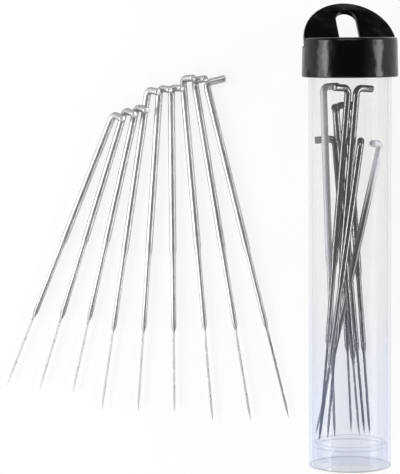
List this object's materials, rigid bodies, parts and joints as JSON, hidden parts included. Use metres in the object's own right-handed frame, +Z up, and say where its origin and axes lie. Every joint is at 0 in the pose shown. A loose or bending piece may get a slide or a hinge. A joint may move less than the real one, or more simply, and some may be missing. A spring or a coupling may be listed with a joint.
{
  "type": "felting needle set",
  "caption": "Cranked felting needles with barbed three-edged blades, loose in a fan and kept in a clear round tube with a black push-on cap and folding hang tab.",
  "frame": {"origin": "middle of the set's footprint, on the table it lies on", "axes": "+X to the right across the fan and the tube, +Y along the tube towards the cap, +Z up from the table"},
  "size_m": [0.1028, 0.1188, 0.0245],
  "materials": {
    "clear_tube": "clear extruded tube, glossy",
    "clear_plug": "clear moulded plug, faint blue tint",
    "black_cap": "black moulded, semi-gloss",
    "needle_steel": "bright drawn wire, nickel-grey"
  },
  "bodies": {
    "tube": {"tube": "clear_tube", "base_plug": "clear_plug", "loose_needle_short_1": "needle_steel", "loose_needle_short_2": "needle_steel", "loose_needle_short_3": "needle_steel", "loose_needle_medium_1": "needle_steel", "loose_needle_medium_2": "needle_steel", "loose_needle_medium_3": "needle_steel", "loose_needle_long_1": "needle_steel", "loose_needle_long_2": "needle_steel", "loose_needle_long_3": "needle_steel"},
    "cap": {"cap": "black_cap"},
    "hang_tab": {"hang_tab": "black_cap"},
    "stored_needle_short_1": {"stored_needle_short_1": "needle_steel"},
    "stored_needle_short_2": {"stored_needle_short_2": "needle_steel"},
    "stored_needle_short_3": {"stored_needle_short_3": "needle_steel"},
    "stored_needle_medium_1": {"stored_needle_medium_1": "needle_steel"},
    "stored_needle_medium_2": {"stored_needle_medium_2": "needle_steel"},
    "stored_needle_medium_3": {"stored_needle_medium_3": "needle_steel"},
    "stored_needle_long_1": {"stored_needle_long_1": "needle_steel"},
    "stored_needle_long_2": {"stored_needle_long_2": "needle_steel"},
    "stored_needle_long_3": {"stored_needle_long_3": "needle_steel"}
  },
  "joints": [
    {"name": "cap_pull", "type": "slide", "parent": "tube", "child": "cap", "axis": [0, 0.9999, 0.017], "range_m": [0, 0.03]},
    {"name": "tab_fold", "type": "hinge", "parent": "cap", "child": "hang_tab", "pos_m": [0.03911, 0.04944, 0.0124], "axis": [-0.9659, -0.0044, 0.2588], "range_deg": [-38, 52]},
    {"name": "short_1_slide", "type": "slide", "parent": "tube", "child": "stored_needle_short_1", "axis": [-0.0813, 0.9966, 0.0169], "range_m": [-0.0055, 0.006]},
    {"name": "short_2_slide", "type": "slide", "parent": "tube", "child": "stored_needle_short_2", "axis": [0.1382, 0.9903, 0.0168], "range_m": [-0.0005, 0.0105]},
    {"name": "short_3_slide", "type": "slide", "parent": "tube", "child": "stored_needle_short_3", "axis": [0.2157, 0.9763, 0.0166], "range_m": [-0.001, 0.003]},
    {"name": "medium_1_slide", "type": "slide", "parent": "tube", "child": "stored_needle_medium_1", "axis": [-0.0459, 0.9988, 0.0169], "range_m": [-0.0055, 0.012]},
    {"name": "medium_2_slide", "type": "slide", "parent": "tube", "child": "stored_needle_medium_2", "axis": [-0.0874, 0.996, 0.0169], "range_m": [-0.0055, 0.003]},
    {"name": "medium_3_slide", "type": "slide", "parent": "tube", "child": "stored_needle_medium_3", "axis": [-0.0711, 0.9973, 0.0169], "range_m": [-0.0055, 0.0125]},
    {"name": "long_1_slide", "type": "slide", "parent": "tube", "child": "stored_needle_long_1", "axis": [-0.032, 0.9993, 0.0169], "range_m": [-0.003, 0.007]},
    {"name": "long_2_slide", "type": "slide", "parent": "tube", "child": "stored_needle_long_2", "axis": [0.0813, 0.9965, 0.0169], "range_m": [-0.00075, 0.0075]},
    {"name": "long_3_slide", "type": "slide", "parent": "tube", "child": "stored_needle_long_3", "axis": [0.0825, 0.9964, 0.0169], "range_m": [-0.0055, 0.0075]}
  ]
}
